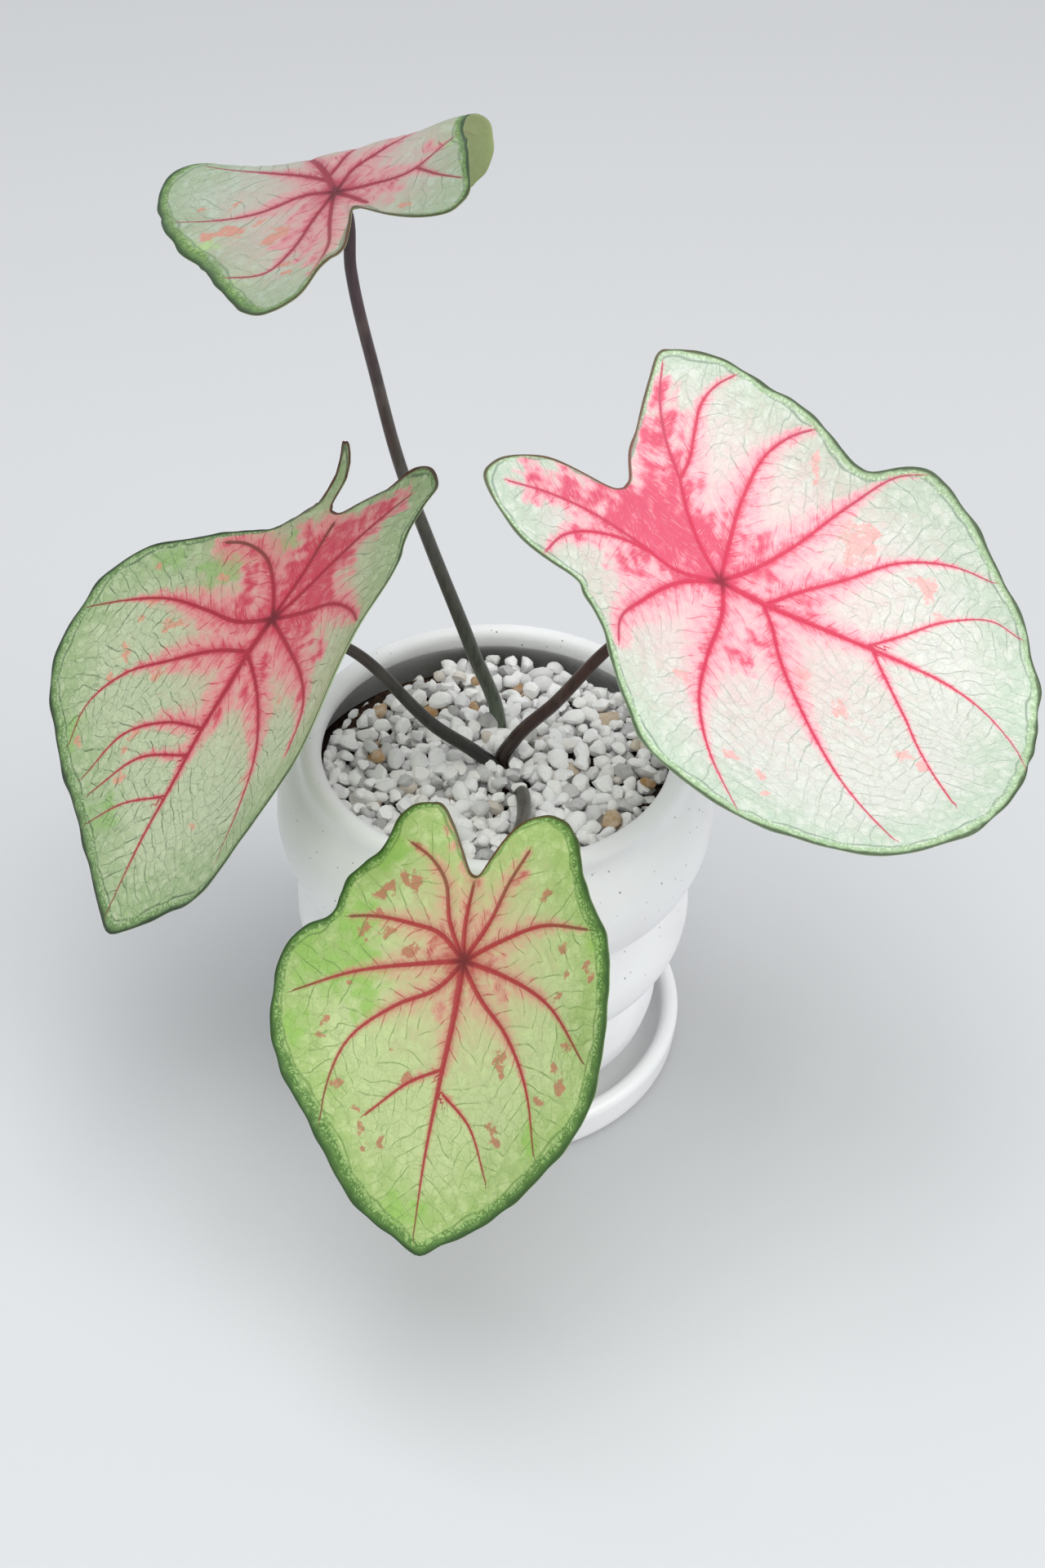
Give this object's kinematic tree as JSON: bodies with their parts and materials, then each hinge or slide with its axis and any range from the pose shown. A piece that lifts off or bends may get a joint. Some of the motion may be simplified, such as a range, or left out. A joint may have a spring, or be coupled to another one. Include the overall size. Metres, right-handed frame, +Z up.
{
  "type": "potted caladium",
  "caption": "Heart-leaved foliage plant on slender stalks in a tiered round pot with gravel, standing on a round saucer.",
  "frame": {"origin": "middle of the saucer's flat underside, on the pot's axis, where the part stands", "axes": "+Z up along the pot's axis; -Y towards the viewer of the picture, +X to that viewer's right"},
  "size_m": [0.2629, 0.2076, 0.2897],
  "materials": {
    "saucer": "satin white",
    "pot": "matt off-white with sparse fine dark specks",
    "soil": "dark crumbly potting mix",
    "tuber": "rough brown skin",
    "gravel": "off-white and grey porous pebbles",
    "petiole": "smooth, brown-purple, paler at the base",
    "blade_right": "satin, pale mint with pink veins and a dark green margin",
    "blade_left": "satin, sage green with red and pink veins",
    "blade_front": "satin, yellow-green with dark red veins and a dark green margin",
    "blade_top": "satin, pale green with salmon patches and red veins"
  },
  "bodies": {
    "root": {"saucer": "saucer", "pot": "pot", "soil": "soil", "tuber": "tuber", "gravel": "gravel", "petiole_right": "petiole", "leaf_right": "blade_right", "petiole_left": "petiole", "leaf_left": "blade_left", "petiole_front": "petiole", "leaf_front": "blade_front", "petiole_top": "petiole", "leaf_top": "blade_top"}
  },
  "joints": []
}
